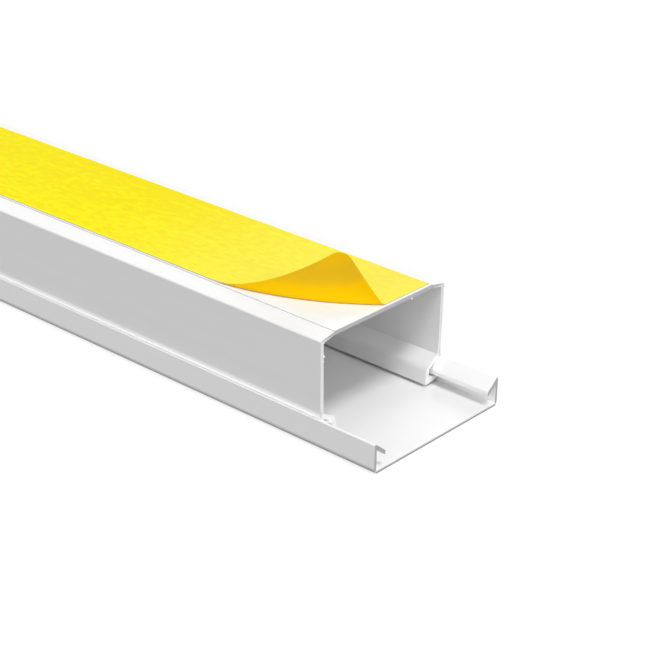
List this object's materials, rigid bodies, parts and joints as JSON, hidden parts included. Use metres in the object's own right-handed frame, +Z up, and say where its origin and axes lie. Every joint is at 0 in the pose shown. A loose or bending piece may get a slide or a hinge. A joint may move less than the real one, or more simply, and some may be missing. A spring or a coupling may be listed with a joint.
{
  "type": "cord cover raceway",
  "caption": "Self-adhesive two-piece plastic cord raceway, lying on its clip-in cover, with the cover slid out at one end and the release liner's corner peeled up.",
  "frame": {"origin": "centre of the footprint at floor level, halfway along the channel and the slid-out cover together, on the cover's plain face", "axes": "+X along the length towards the end where the cover sticks out, +Y across, +Z up from the cover's plain face to the taped back"},
  "size_m": [0.415, 0.04, 0.036],
  "materials": {
    "white_plastic": "satin extruded rigid vinyl, fine lengthwise drawing lines",
    "white_adhesive": "tacky white foam mounting tape",
    "yellow_liner": "waxed yellow release liner, faintly mottled"
  },
  "bodies": {
    "base": {"base_channel": "white_plastic", "adhesive_tape": "white_adhesive", "release_liner": "yellow_liner"},
    "cover": {"cover": "white_plastic"}
  },
  "joints": [
    {"name": "cover_slide", "type": "slide", "parent": "base", "child": "cover", "axis": [1, 0, 0], "range_m": [-0.015, 0.345]}
  ]
}
